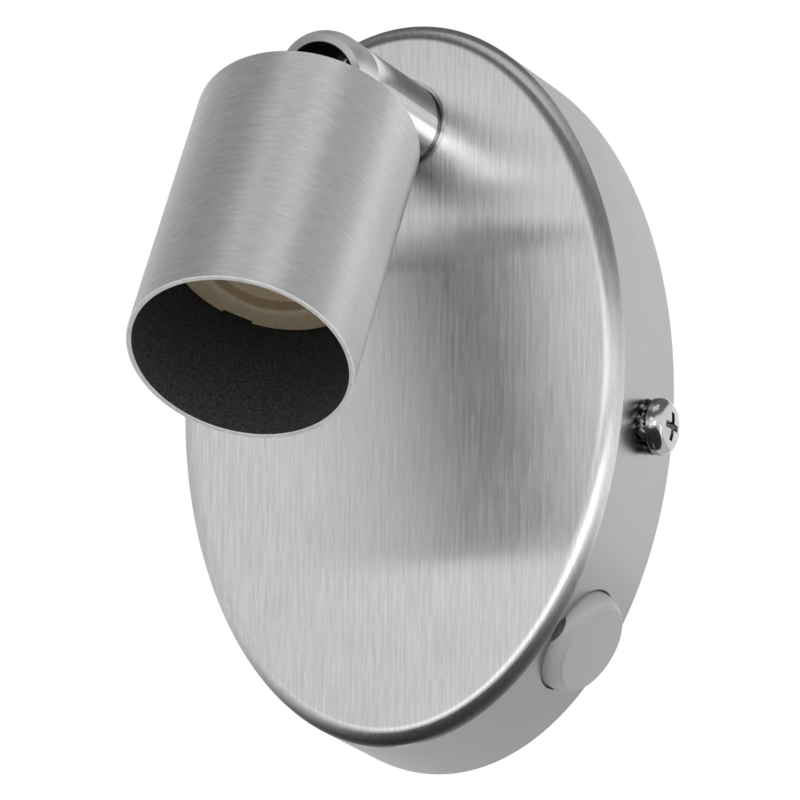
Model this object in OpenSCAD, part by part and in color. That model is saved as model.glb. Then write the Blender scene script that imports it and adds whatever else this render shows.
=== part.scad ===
// Wall spotlight: an oval cup on the wall, a short round stem and a tilting cylindrical lamp head.
// Millimetres. The wall is the plane y = 0, the light stands out of it towards -Y, and +Z is up.
// The origin is the centre of the oval where it meets the wall.

/* [Oval canopy] */
// Width of the oval
plate_w = 77.5; // [70:0.5:90]
// Height of the oval
plate_h = 120; // [110:1:140]
// How far the cup stands out of the wall
plate_depth = 22; // [21:0.5:30]
// Thickness of the canopy's sheet
canopy_wall = 1; // [0.8:0.1:1.2]
// Outer radius of the edge between the face and the side wall
edge_r = 2.5; // [2:0.1:3.5]

/* [Stem] */
// Distance from the top of the oval down to the stem's axis
stem_from_top = 17.4; // [17:0.2:20]
// Distance from the wall to the hinge at the stem's end
pivot_reach = 50; // [48:0.1:70]
// Diameter of the stem
stem_d = 14.8; // [14.4:0.1:16]
// Wall of the stem round its threaded nipple
stem_wall = 2.4; // [2.2:0.1:2.6]
// Wall of the hollow nipple
nipple_wall = 1.4; // [1.2:0.1:1.6]
// Thickness of the hollow dome at the stem's end
dome_wall = 1.3; // [1:0.1:1.4]
// Distance from the hinge to the slanted cut across the dome
mouth_reach = 2.2; // [1.8:0.1:2.4]
// Slant of the stem's end face, in degrees below straight ahead
mouth_slant = 21; // [10:1:30]

/* [Lamp head] */
// Outer diameter of the head
head_d = 36; // [34:0.5:50]
// Length of the head
head_len = 50; // [46:0.5:80]
// Thickness of the head's tube
head_wall = 0.8; // [0.6:0.1:1.2]
// Inner radius of the edge of the head's closed end
head_edge_r = 0.3; // [0.2:0.1:1]
// Distance from the hinge to the head's closed end
neck_len = 12; // [11.5:0.1:16]
// Lean of the head away from the wall at rest, in degrees from straight down
head_tilt = 28.5; // [0:0.5:90]

/* [Lampholder] */
// Diameter of the ceramic's front ring
holder_d = 33; // [31:0.1:33.6]
// Distance from the head's closed end to the back of the ceramic
holder_hang = 7.2; // [7:0.1:9]
// Length of the ceramic body
holder_len = 20.2; // [19.5:0.1:20.6]
// Clear bore of the threaded lamp shell
socket_d = 14; // [13.8:0.1:14.2]
// Depth of the threaded lamp shell
socket_len = 14; // [13:0.5:14.5]

/* [Push switch] */
// Diameter of the button
button_d = 17.2; // [14:0.1:17.4]
// How far the released button stands out of the side wall
button_out = 2.65; // [2.5:0.05:5]
// Travel of the button
button_travel = 2.2; // [1.5:0.1:2.4]
// Distance from the bottom of the oval up to the button's axis
button_from_bottom = 16.8; // [14:0.1:20]
// Distance from the wall to the button's axis
button_reach = 10.2; // [10:0.1:10.6]
// Gap round the button in its hole
button_gap = 0.4; // [0.3:0.05:0.6]

/* [Wall bracket and side screws] */
// Thickness of the bracket's steel
bracket_t = 1.5; // [1.2:0.1:2]
// Width of the bracket's strap
strap_w = 16; // [15:0.5:18]
// Height of the side screws below the centre of the oval
side_screw_drop = 9; // [8:0.5:10]
// Distance from the wall to the side screws
side_screw_reach = 10; // [8:0.5:12]
// Thread diameter of the side screws
side_screw_d = 5; // [4:0.5:5]
// Distance between the two wall slots
slot_pitch = 44; // [40:1:48]
// Length of a wall slot
slot_len = 9; // [8:0.5:10]
// Width of a wall slot
slot_w = 4.6; // [4.2:0.1:5]
// Bore of the grommet for the supply cable
grommet_bore_d = 8; // [7:0.1:8.4]

/* [Hidden] */
$fn = 96;

// Overrun of every cut past the face that it opens
cut = 1;
// Side clearance of two pieces that are screwed or pushed together
fit = 0.05;
// Radial clearance of a piece that turns on a pin
run_fit = 0.07;
// Radial clearance of the stem's nipple in the canopy
swivel_fit = 0.1;
// Space left between a moving piece and its neighbour
air = 0.3;
// Space between a laid-in piece and the curved wall beside it
seat = 0.15;

// Oval canopy: number of sides and rounding steps, and its inner sizes
oval_sides = 120;
edge_steps = 5;
half_w = plate_w / 2;
half_h = plate_h / 2;
stem_z = half_h - stem_from_top;
button_drop = half_h - button_from_bottom;
inner_edge_r = edge_r - canopy_wall;
inside_depth = plate_depth - canopy_wall;

// Stem: threaded nipple, washers and nut behind the face
stem_r = stem_d / 2;
nipple_d = stem_d - 2 * stem_wall;
channel_d = nipple_d - 2 * nipple_wall;
nipple_in_stem = 8;
nipple_tail = 1.2;
seat_ring_t = 0.5;
seat_ring_lip = 0.55;
neck_groove_h = 0.7;
neck_groove_deep = 0.45;
washer_t = 0.8;
washer_rim = 3.6;
nut_wall = 2;
nut_af = nipple_d + 2 * nut_wall;
nut_h = 3;
stop_tab_w = 3;
stop_tab_len = 3.6;
stop_rivet_d = 2;
stop_rivet_h = 3;
cavity_r = stem_r - dome_wall;
stem_low = plate_depth + seat_ring_t + fit;
stop_washer_high = inside_depth - fit - washer_t;
nipple_low = stop_washer_high - washer_t - nut_h - nipple_tail;
stop_radius = nipple_d / 2 + washer_rim + stop_tab_len / 2;

// Hinge: fork ears, pin, washers and the slot that they swing in
ear_side_room = 2;
ear_tip_room = 2.5;
ear_shoulder = 0.9;
ear_t = 1.2;
ear_out_x = cavity_r - ear_side_room;
ear_r = cavity_r - ear_tip_room;
ear_half = ear_r - ear_shoulder;
hinge_washer_t = 0.4;
slot_half = ear_out_x + hinge_washer_t + 2 * fit;
slot_past = 1.2;
boss_d = 4.8;
hinge_pin_d = 2.5;
hinge_head_d = 4.4;
hinge_head_h = 1;
hinge_head_out = 0.2;
hinge_blind_wall = 0.7;
hinge_washer_d = 5;
driver_slot_w = 0.7;
fork_base_t = 1.5;
fork_base_rim = 1.4;
fork_base_d = 2 * (ear_out_x + fork_base_rim);

// Leads: their outer diameter, and how far each runs beside the axis to clear its neighbour
lead_d = 1.8;
stem_lead_x = lead_d / 2 + air;
lead_sides = 8;
lead_steps = 4;
stem_lead_parts = 3;

// Head: neck tube, its nut and the bracket that carries the lampholder
neck_bore_d = 2 * stem_lead_x + lead_d + 4 * fit;
neck_tube_wall = 0.55;
neck_nut_af = 9;
neck_nut_h = 2.2;
holder_bracket_t = 1;
holder_bracket_w = 9;
holder_bracket_span = 15;
holder_foot_len = 6;
holder_terminal_rim = 1;

// Lampholder: ring, waist, lip and floor, seen from the mouth
holder_ring_h = 5;
holder_waist_d = 27;
holder_lip_d = 26.6;
holder_lip_t = 1.8;
holder_lip_h = 1;
holder_floor_deep = 1.1;
holder_notch_w = 4;
holder_notch_deep = 0.5;
holder_notch_turn = 200;
shell_wall = 0.4;
shell_flare = 0.5;
contact_w = 3.4;
contact_t = 0.5;
contact_rise = 3;
contact_len = 8;
holder_screw_d = 3;
holder_screw_head_d = 4.8;
holder_screw_head_h = 1.8;
terminal_w = 5;
terminal_d = 4;
terminal_h = 4.5;

// Button, its housing and the saddle that holds it
button_edge_r = 0.8;
button_flange_rim = 0.9;
button_flange_t = 0.8;
button_notch_w = 5;
button_notch_deep = 1.4;
button_notch_rise = 1.2;
plunger_d = 6;
plunger_in = 4.5;
housing_w = 17;
housing_len = 14;
housing_top_gap = 1;
housing_back = 3;
saddle_t = 1;
saddle_len = 8;
saddle_cheek_h = 10;
tab_w = 2.8;
tab_t = 0.8;
tab_len = 4;

// Wall bracket: ears, upper tab, earth screw and terminal block
ear_w = 12;
ear_len = side_screw_reach + ear_w / 2;
tab_plate_w = 24;
tab_top = 21;
grommet_lip = 1.5;
grommet_lip_t = 1.2;
earth_x = 8;
earth_z = 16.5;
earth_screw_d = 4;
earth_head_d = 7;
earth_head_h = 2.4;
block_w = 20;
block_h = 11;
block_depth = 12;
block_z = 5.5;
block_ways = 2;
sleeve_d = 5;
sleeve_wall = 0.9;
clamp_screw_d = 2.6;

// Side screws and the toothed washer
pan_head_d = 9.2;
pan_head_h = 3;
pan_edge_h = 1.3;
tooth_washer_d = 9;
tooth_washer_rim = 0.95;
tooth_t = 0.6;
tooth_lift = 1.6;
teeth = 12;
tooth_twist = 45;
screw_past = 2.5;
recess_w = 1.1;
recess_deep = 1.6;

// Where the side wall of an oval stands at a height z, and which way it faces there
function wall_x(z, inset = 0) = (half_w - inset) * sqrt(1 - pow(z / (half_h - inset), 2));
function wall_turn(z) = atan2(z / pow(half_h, 2), wall_x(z) / pow(half_w, 2));

// Bring a piece drawn on the plate, with Z standing out of the wall and Y up, into place
module off_wall(x = 0, z = 0) {
    translate([x, 0, z]) rotate([90, 0, 0]) children();
}

// Bring a piece drawn along Z into place on the canopy's side, Z pointing out of the side wall
module on_side(z, reach) {
    translate([wall_x(z), -reach, z]) rotate([0, 90 - wall_turn(z), 0]) children();
}

// The same place on both sides of the oval
module both_sides() {
    children();
    mirror([1, 0, 0]) children();
}

// Bring a piece drawn round the hinge, with the head hanging along -Z, to its lean at rest
module at_hinge(tilt = 0) {
    translate([0, -pivot_reach, stem_z]) rotate([-tilt, 0, 0]) children();
}

// A cylinder from one height to another
module post(d, low, high) {
    translate([0, 0, low]) cylinder(d = d, h = high - low);
}

// A flat ring or tube from one height to another
module tube(outer_d, bore_d, low, high) {
    difference() {
        post(outer_d, low, high);
        post(bore_d, low - cut, high + cut);
    }
}

// A hexagonal prism given by its width across flats
module hex(af, low, high) {
    translate([0, 0, low]) cylinder(d = af / cos(30), h = high - low, $fn = 6);
}

// A block centred on X and Y, from one height to another
module block(w, d, low, high) {
    translate([-w / 2, -d / 2, low]) cube([w, d, high - low]);
}

// A flat disc with a rounded outer edge on top, standing on z = 0
module round_disc(d, h, edge) {
    rotate_extrude() {
        square([d / 2 - edge, h]);
        square([d / 2, h - edge]);
        translate([d / 2 - edge, h - edge]) intersection() {
            circle(r = edge);
            square([edge, edge]);
        }
    }
}

// Points and faces of a round lead that follows a smooth line through a list of points
function dir(v) = v / norm(v);
function smooth(a, b, c, d, t) =
    0.5 * ((2 * b) + (c - a) * t + (2 * a - 5 * b + 4 * c - d) * t * t + (3 * b - a - 3 * c + d) * t * t * t);
function at_end(p, i) = p[max(0, min(len(p) - 1, i))];
function smooth_line(p, steps) = [
    for (i = [0 : len(p) - 2])
        for (s = [0 : steps - 1])
            smooth(at_end(p, i - 1), p[i], p[i + 1], at_end(p, i + 2), s / steps),
    p[len(p) - 1]
];
function run_at(p, i) = dir(at_end(p, i + 1) - at_end(p, i - 1));
// A ring's first spoke lies square to the line and to a spoke that never runs along it
function ring_at(p, i, r, side) =
    let (along = run_at(p, i), u = dir(cross(along, side)), v = cross(along, u))
    [for (k = [0 : lead_sides - 1])
        let (turn = 360 * k / lead_sides) p[i] + r * (cos(turn) * u + sin(turn) * v)];

module lead(route, side = [1, 0, 0]) {
    line = smooth_line(route, lead_steps);
    n = lead_sides;
    last = len(line) - 1;
    points = [for (i = [0 : last]) each ring_at(line, i, lead_d / 2, side)];
    skin = [for (i = [0 : last - 1]) for (k = [0 : n - 1])
        [i * n + k, i * n + (k + 1) % n, (i + 1) * n + (k + 1) % n, (i + 1) * n + k]];
    ends = [[for (k = [n - 1 : -1 : 0]) k], [for (k = [0 : n - 1]) last * n + k]];
    polyhedron(points = points, faces = concat(skin, ends));
}

// The oval of the plate, drawn smaller by an inset
module oval(inset = 0) {
    polygon([for (i = [0 : oval_sides - 1])
        let (turn = 360 * i / oval_sides) [(half_w - inset) * cos(turn), (half_h - inset) * sin(turn)]]);
}

// A solid oval with a rounded front edge, standing on the wall
module oval_block(inset, depth, edge) {
    hull() {
        linear_extrude(depth - edge) oval(inset);
        for (step = [1 : edge_steps])
            let (turn = 90 * step / edge_steps)
                linear_extrude(depth - edge + edge * sin(turn)) oval(inset + edge * (1 - cos(turn)));
    }
}

// Oval cup pressed from sheet, open towards the wall
module canopy() {
    color("silver") difference() {
        off_wall() oval_block(0, plate_depth, edge_r);
        off_wall() translate([0, 0, -cut]) oval_block(canopy_wall, inside_depth + cut, inner_edge_r);
        off_wall(z = stem_z) post(nipple_d + 2 * swivel_fit, inside_depth - cut, plate_depth + cut);
        off_wall(z = stem_z - stop_radius)
            post(stop_rivet_d, inside_depth - canopy_wall, plate_depth - canopy_wall / 2);
        on_side(-button_drop, button_reach)
            post(button_d + 2 * button_gap, -3 * canopy_wall, 3 * canopy_wall);
        both_sides() on_side(-side_screw_drop, side_screw_reach)
            post(side_screw_d + 2 * seat, -3 * canopy_wall, 3 * canopy_wall);
    }
}

// Steel strap screwed to the wall, with an ear at each end and a tab above for the terminals
strap_half = wall_x(-side_screw_drop, canopy_wall) - air;
module bracket_ear() {
    on_side(-side_screw_drop, 0)
        translate([-ear_w / 2, -ear_len, -canopy_wall - air - bracket_t])
            cube([ear_w, ear_len, bracket_t]);
}
module wall_bracket() {
    color("gainsboro") difference() {
        union() {
            off_wall(z = -side_screw_drop) block(2 * strap_half - 2 * bracket_t, strap_w, 0, bracket_t);
            off_wall(z = (tab_top - side_screw_drop) / 2)
                block(tab_plate_w, tab_top + side_screw_drop, 0, bracket_t);
            both_sides() bracket_ear();
        }
        for (side = [-1, 1])
            off_wall(side * slot_pitch / 2, -side_screw_drop) {
                block(slot_len - slot_w, slot_w, -cut, bracket_t + cut);
                for (end = [-1, 1])
                    translate([end * (slot_len - slot_w) / 2, 0, 0]) post(slot_w, -cut, bracket_t + cut);
            }
        off_wall(z = -side_screw_drop) post(grommet_groove_d, -cut, bracket_t + cut);
        off_wall(earth_x, earth_z) post(earth_screw_d + 2 * fit, -cut, bracket_t + cut);
        both_sides() on_side(-side_screw_drop, side_screw_reach)
            post(side_screw_d + 2 * fit, -canopy_wall - 2 * bracket_t, 0);
    }
}

// Rubber ring that lines the bracket's cable hole, open all the way through
grommet_groove_d = grommet_bore_d + 2 * grommet_lip;
module cable_grommet() {
    color("dimgray") off_wall(z = -side_screw_drop) difference() {
        union() {
            post(grommet_groove_d - 2 * fit, 0, bracket_t);
            post(grommet_groove_d + 2 * grommet_lip, bracket_t, bracket_t + grommet_lip_t);
        }
        post(grommet_bore_d, -cut, bracket_t + grommet_lip_t + cut);
    }
}

// Screw and toothed cup washer for the earth wire
module earth_screw() {
    color("silver") off_wall(earth_x, earth_z) difference() {
        union() {
            post(earth_screw_d, fit, bracket_t + washer_t);
            post(earth_head_d, bracket_t + washer_t, bracket_t + washer_t + earth_head_h);
        }
        block(earth_head_d + cut, driver_slot_w, bracket_t + washer_t + earth_head_h / 2,
              bracket_t + washer_t + earth_head_h + cut);
    }
}
module earth_washer() {
    color("silver") off_wall(earth_x, earth_z)
        tube(earth_head_d + 2 * fit, earth_screw_d + 2 * fit, bracket_t, bracket_t + washer_t);
}

// Pan-head screw with a cross recess, whose head stands at a height above the side wall
module side_screw(low) {
    high = low + pan_head_h;
    crown_h = pan_head_h - pan_edge_h;
    pan_r = (pow(pan_head_d / 2, 2) + pow(crown_h, 2)) / (2 * crown_h);
    difference() {
        union() {
            post(side_screw_d, -canopy_wall - bracket_t - screw_past, low);
            translate([0, 0, low]) rotate_extrude() intersection() {
                square([pan_head_d / 2, pan_head_h]);
                translate([0, pan_head_h - pan_r]) circle(r = pan_r);
            }
        }
        for (turn = [0, 90])
            rotate([0, 0, turn]) block(pan_head_d / 2, recess_w, high - recess_deep, high + cut);
    }
}
module side_screws() {
    color("silver") {
        on_side(-side_screw_drop, side_screw_reach) side_screw(tooth_lift);
        mirror([1, 0, 0]) on_side(-side_screw_drop, side_screw_reach) side_screw(fit);
    }
}

// Ring with twisted outer teeth under the right screw's head, whose bite earths the canopy
module tooth_ring() {
    rim = side_screw_d / 2 + seat + tooth_washer_rim;
    tooth_h = tooth_lift - 2 * fit;
    tooth_w = (tooth_h - tooth_t * cos(tooth_twist)) / sin(tooth_twist);
    tube(2 * rim, side_screw_d + 2 * seat, (tooth_lift - tooth_t) / 2, (tooth_lift + tooth_t) / 2);
    for (i = [0 : teeth - 1])
        rotate([0, 0, 360 * i / teeth])
            translate([rim - tooth_t / 2, 0, tooth_lift / 2]) rotate([tooth_twist, 0, 0])
                translate([0, -tooth_w / 2, -tooth_t / 2])
                    cube([tooth_washer_d / 2 - rim + tooth_t / 2, tooth_w, tooth_t]);
}
module tooth_washer() {
    color("dimgray") on_side(-side_screw_drop, side_screw_reach) tooth_ring();
}

// Terminal block on the bracket's tab, with a through hole and a screw well for each way
function way_x(i) = (i - (block_ways - 1) / 2) * block_w / block_ways;
block_low = bracket_t;
sleeve_z = bracket_t + block_depth / 2;
module each_way() {
    for (i = [0 : block_ways - 1])
        off_wall(way_x(i), block_z) children();
}
module terminal_block() {
    color("white") difference() {
        off_wall(z = block_z) block(block_w, block_h, block_low, block_low + block_depth);
        each_way() translate([0, 0, sleeve_z]) rotate([90, 0, 0])
            post(sleeve_d + 2 * fit, -block_h, block_h);
        each_way() for (end = [-1, 1])
            translate([0, end * block_h / 4, 0]) post(clamp_well_d, sleeve_z, block_low + block_depth + cut);
    }
}

// Brass sleeves that join the supply wires to the leads
clamp_well_d = clamp_screw_d + 4 * fit;
module terminal_sleeves() {
    color("gold") each_way() difference() {
        translate([0, 0, sleeve_z]) rotate([90, 0, 0])
            tube(sleeve_d, sleeve_d - 2 * sleeve_wall, -block_h / 2, block_h / 2);
        for (end = [-1, 1])
            translate([0, end * block_h / 4, 0]) post(clamp_screw_d + 2 * fit, sleeve_z, sleeve_z + sleeve_d);
    }
}

// Slotted clamp screws, two for each sleeve
module terminal_screws() {
    color("silver") each_way() for (end = [-1, 1])
        translate([0, end * block_h / 4, 0]) difference() {
            post(clamp_screw_d, sleeve_z + lead_d / 2, block_low + block_depth - driver_slot_w);
            block(clamp_screw_d + cut, driver_slot_w, block_low + block_depth - 2 * driver_slot_w,
                  block_low + block_depth);
        }
}

// Sheet saddle welded behind the canopy's face, which holds the switch between two cheeks
button_turn = wall_turn(-button_drop);
button_out_share = wall_x(-button_drop) / half_w;
side_pace = sqrt(pow(half_w, 2) * (1 - pow(button_out_share, 2)) + pow(half_h * button_out_share, 2));
side_curve_r = pow(side_pace, 3) / half_w / half_h;
button_flange_r = button_d / 2 + button_flange_rim;
side_sag = side_curve_r - sqrt(pow(side_curve_r, 2) - pow(button_flange_r, 2));
skirt_low = -canopy_wall - side_sag - air - button_flange_t;
housing_top = skirt_low - button_travel - housing_top_gap;
housing_front = inside_depth - saddle_t;
plunger_low = housing_top - plunger_in;
module in_switch() {
    on_side(-button_drop, button_reach) children();
}
module switch_saddle() {
    color("gainsboro") in_switch() translate([0, button_reach, housing_top - housing_len / 2]) {
        translate([-housing_w / 2 - saddle_t, -inside_depth, -saddle_len / 2])
            cube([housing_w + 2 * saddle_t, saddle_t, saddle_len]);
        for (side = [-1, 1])
            translate([side * (housing_w + saddle_t) / 2 - saddle_t / 2, -inside_depth, -saddle_len / 2])
                cube([saddle_t, saddle_cheek_h, saddle_len]);
    }
}

// Closed switch body with a round guide for the button's plunger
module switch_housing() {
    color("white") in_switch() difference() {
        translate([-housing_w / 2 + fit, button_reach - housing_front, housing_top - housing_len])
            cube([housing_w - 2 * fit, housing_front - housing_back, housing_len]);
        post(plunger_d + 2 * run_fit, plunger_low - button_travel - air, housing_top + cut);
        for (side = [-1, 1])
            translate([side * housing_w / 4, 0, 0])
                block(tab_w + 2 * fit, tab_t + 2 * fit, housing_top - housing_len - cut,
                      housing_top - housing_len + tab_len / 2);
    }
}

// Two brass blades that stand out of the back of the switch
contact_low = housing_top - housing_len - tab_len;
module switch_contacts() {
    color("gold") in_switch() for (side = [-1, 1])
        translate([side * housing_w / 4, 0, 0])
            block(tab_w, tab_t, contact_low, housing_top - housing_len + tab_len / 2 - fit);
}

// Round button with a softly rounded face, a notch in its skirt, a retaining flange and a plunger
module button() {
    color("gray") in_switch() {
        difference() {
            translate([0, 0, skirt_low]) round_disc(button_d, button_out - skirt_low, button_edge_r);
            translate([0, -button_d / 2, 0])
                block(button_notch_w, 2 * button_notch_deep, skirt_low + button_flange_t, button_notch_rise);
        }
        post(2 * button_flange_r, skirt_low, skirt_low + button_flange_t);
        post(plunger_d, plunger_low, skirt_low + button_flange_t);
    }
}

// Leads inside the canopy: terminal to switch, switch to nipple, and terminal to nipple
contact_side = housing_w / 4;
contact_end = contact_low - lead_d / 2;
function at_contact(side) = [
    wall_x(-button_drop) + side * contact_side * sin(button_turn) + contact_end * cos(button_turn),
    -button_reach,
    -button_drop - side * contact_side * cos(button_turn) + contact_end * sin(button_turn)
];
lead_y = -(bracket_t + block_depth / 2);
block_top_z = block_z + block_h / 2;
in_sleeve = block_h / 3;
past_block = tab_plate_w / 2 + 2 * lead_d;
nipple_mouth = [0, -(nipple_low - air), stem_z];
module base_leads() {
    x = block_w / block_ways / 2;
    color("saddlebrown") {
        lead([[x, lead_y, block_top_z - in_sleeve], [x, lead_y, block_top_z + lead_d],
              [past_block, lead_y, block_top_z], [past_block, lead_y, block_z],
              [past_block - lead_d, lead_y, -side_screw_drop],
              at_contact(-1) + [lead_d, 0, 2 * lead_d], at_contact(-1)], [0, 1, 0]);
        lead([at_contact(1), at_contact(1) + [-2 * lead_d, 0, 2 * lead_d],
              [-past_block, lead_y, -side_screw_drop - 2 * lead_d], [-past_block - lead_d, lead_y, block_z],
              [-past_block, lead_y, block_top_z + 2 * lead_d],
              nipple_mouth + [-2 * lead_d, 3 * lead_d, -4 * lead_d],
              nipple_mouth + [-stem_lead_x, lead_d, -lead_d / 2],
              nipple_mouth + [-stem_lead_x, 0, 0]], [0, 1, 0]);
        lead([[-x, lead_y, block_top_z - in_sleeve], [-x, lead_y, block_top_z + lead_d],
              [0, lead_y, stem_z - 8 * lead_d], nipple_mouth + [2 * lead_d, 3 * lead_d, -4 * lead_d],
              nipple_mouth + [stem_lead_x, lead_d, -lead_d / 2],
              nipple_mouth + [stem_lead_x, 0, 0]], [1, 0, 0]);
    }
}

// Rivet behind the face that the stop washer's tab runs against
module stop_rivet() {
    color("silver") off_wall(z = stem_z - stop_radius)
        post(stop_rivet_d - 2 * fit, inside_depth - stop_rivet_h, inside_depth + canopy_wall / 2 - fit);
}

// Thin bright ring on which the stem turns
module seat_ring() {
    color("white") off_wall(z = stem_z)
        tube(stem_d + 2 * seat_ring_lip, nipple_d + 2 * swivel_fit, plate_depth, plate_depth + seat_ring_t);
}

// Turned stem with a hollow, domed end cut at a slant, a wire channel and a slot below for the fork
slot_back = ear_half + slot_past;
module fork_room() {
    sphere(r = cavity_r);
    translate([-slot_half, -2 * stem_d, -2 * stem_d])
        cube([2 * slot_half, 2 * stem_d + slot_back, 2 * stem_d]);
}
module stem() {
    color("silver") difference() {
        union() {
            off_wall(z = stem_z)
                post(stem_d - 2 * neck_groove_deep, stem_low, stem_low + neck_groove_h + cut);
            off_wall(z = stem_z) post(stem_d, stem_low + neck_groove_h, pivot_reach);
            at_hinge() sphere(r = stem_r);
        }
        off_wall(z = stem_z) post(nipple_d + 2 * fit, stem_low - cut, stem_low + nipple_in_stem);
        off_wall(z = stem_z) post(channel_d, stem_low, pivot_reach);
        at_hinge() difference() {
            fork_room();
            rotate([0, 90, 0]) post(boss_d, slot_half, stem_r);
            rotate([0, 90, 0]) post(boss_d, -stem_r, -slot_half);
        }
        at_hinge() rotate([90 + mouth_slant, 0, 0]) post(2 * stem_d, mouth_reach, stem_d);
        at_hinge() rotate([0, 90, 0]) post(hinge_pin_d + 2 * fit, -stem_d, stem_r - hinge_blind_wall);
        at_hinge() rotate([0, 90, 0]) post(hinge_head_d + 2 * fit, -stem_d, -hinge_head_seat);
    }
}

// Hollow threaded nipple that ties the stem to the canopy and lets the leads through
module stem_nipple() {
    color("gold") off_wall(z = stem_z)
        tube(nipple_d, channel_d, nipple_low, stem_low + nipple_in_stem - fit);
}

// Washers and nut that hold the stem behind the face
module friction_washer() {
    color("gainsboro") off_wall(z = stem_z)
        tube(nipple_d + 2 * washer_rim, nipple_d + 2 * fit, stop_washer_high, inside_depth - fit);
}
module stop_washer() {
    color("gainsboro") off_wall(z = stem_z) difference() {
        union() {
            post(nipple_d + 2 * washer_rim, stop_washer_high - washer_t, stop_washer_high);
            translate([-stop_tab_w / 2, 0, stop_washer_high - washer_t])
                cube([stop_tab_w, nipple_d / 2 + washer_rim + stop_tab_len, washer_t]);
        }
        post(nipple_d + 2 * fit, 0, inside_depth);
    }
}
module stem_nut() {
    color("gold") off_wall(z = stem_z) difference() {
        hex(nut_af, stop_washer_high - washer_t - nut_h, stop_washer_high - washer_t);
        post(nipple_d + 2 * fit, 0, inside_depth);
    }
}

// Hinge screw across the stem, let in on the left and ending blind on the right
hinge_head_seat = stem_r + hinge_head_out - hinge_head_h;
module hinge_screw() {
    color("silver") at_hinge() rotate([0, -90, 0]) difference() {
        union() {
            post(hinge_pin_d, -stem_r + hinge_blind_wall + fit, hinge_head_seat);
            post(hinge_head_d, hinge_head_seat, hinge_head_seat + hinge_head_h);
        }
        block(driver_slot_w, hinge_head_d + cut, hinge_head_seat + hinge_head_h / 2,
              hinge_head_seat + hinge_head_h + cut);
    }
}

// Friction washers between the fork's ears and the cheeks of the stem
module hinge_washers() {
    color("white") both_sides() at_hinge() rotate([0, 90, 0])
        tube(hinge_washer_d, hinge_pin_d + 2 * run_fit, ear_out_x + fit, slot_half - fit);
}

// Leads through the nipple and the stem, up to the hinge screw
lead_stop = hinge_pin_d / 2 + lead_d / 2 + air;
module stem_leads() {
    ahead = [0, -1, 0];
    room = pivot_reach - lead_stop - nipple_low;
    color("saddlebrown") both_sides()
        lead([for (i = [0 : stem_lead_parts])
            [stem_lead_x, 0, stem_z] + (nipple_low + room * i / stem_lead_parts) * ahead]);
}

// Fork on the head's closed end: two round-tipped ears on a disc
module hinge_fork() {
    color("silver") at_hinge(head_tilt) difference() {
        union() {
            for (side = [-1, 1])
                translate([side * (ear_out_x - ear_t / 2), 0, 0]) intersection() {
                    union() {
                        rotate([0, 90, 0]) cylinder(r = ear_r, h = ear_t, center = true);
                        block(ear_t, 2 * ear_r, -neck_len + fork_base_t / 2, 0);
                    }
                    block(2 * ear_t, 2 * ear_half, -neck_len + fork_base_t / 2, 2 * ear_r);
                }
            post(fork_base_d, -neck_len, -neck_len + fork_base_t);
        }
        rotate([0, 90, 0]) post(hinge_pin_d + 2 * run_fit, -stem_d, stem_d);
        post(neck_tube_d + 2 * fit, -neck_len - cut, -neck_len + fork_base_t + cut);
    }
}

// Drawn tube with a flat closed end, open below, with a hole for the neck tube
module head_shell() {
    color("silver") at_hinge(head_tilt) difference() {
        translate([0, 0, -neck_len - head_len]) round_disc(head_d, head_len, head_edge_r + head_wall);
        translate([0, 0, -neck_len - head_len - cut])
            round_disc(head_d - 2 * head_wall, head_len + cut - head_wall, head_edge_r);
        post(neck_tube_d + 2 * fit, -neck_len - head_wall - cut, -neck_len + cut);
    }
}

// Threaded hollow tube that ties fork, head and lampholder bracket together
neck_tube_d = neck_bore_d + 2 * neck_tube_wall;
neck_low = -neck_len - head_wall - holder_bracket_t - neck_nut_h - neck_tube_wall;
module neck_tube() {
    color("gold") at_hinge(head_tilt) tube(neck_tube_d, neck_bore_d, neck_low, -neck_len + fork_base_t);
}
module neck_nut() {
    color("gold") at_hinge(head_tilt) difference() {
        hex(neck_nut_af, neck_low + neck_tube_wall, neck_low + neck_tube_wall + neck_nut_h);
        post(neck_tube_d + 2 * fit, 2 * neck_low, 0);
    }
}

// Bent strap that hangs the lampholder from the head's closed end
bracket_top = -neck_len - head_wall;
holder_top = -neck_len - holder_hang;
holder_front = holder_top - holder_len;
module holder_bracket() {
    span = holder_bracket_span;
    color("gainsboro") at_hinge(head_tilt) difference() {
        union() {
            block(span, holder_bracket_w, bracket_top - holder_bracket_t, bracket_top);
            for (side = [-1, 1]) {
                translate([side * (span - holder_bracket_t) / 2, 0, 0])
                    block(holder_bracket_t, holder_bracket_w, holder_top, bracket_top);
                translate([side * ((span + holder_foot_len) / 2 - holder_bracket_t), 0, 0])
                    block(holder_foot_len, holder_bracket_w, holder_top, holder_top + holder_bracket_t);
            }
        }
        post(neck_tube_d + 2 * fit, bracket_top - 2 * holder_bracket_t, bracket_top + cut);
        for (side = [-1, 1])
            translate([side * foot_x, 0, 0])
                post(holder_screw_d + 2 * fit, holder_top - cut, holder_top + 2 * holder_bracket_t);
    }
}

// Two screws that hold the ceramic to the strap's feet
foot_x = (holder_bracket_span + holder_foot_len - holder_bracket_t) / 2;
module holder_screws() {
    color("silver") at_hinge(head_tilt) for (side = [-1, 1])
        translate([side * foot_x, 0, holder_top + holder_bracket_t]) difference() {
            union() {
                post(holder_screw_d, -holder_bracket_t - 2 * holder_screw_d, 0);
                post(holder_screw_head_d, 0, holder_screw_head_h);
            }
            block(holder_screw_head_d + cut, driver_slot_w,
                  holder_screw_head_h / 2, holder_screw_head_h + cut);
        }
}

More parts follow.
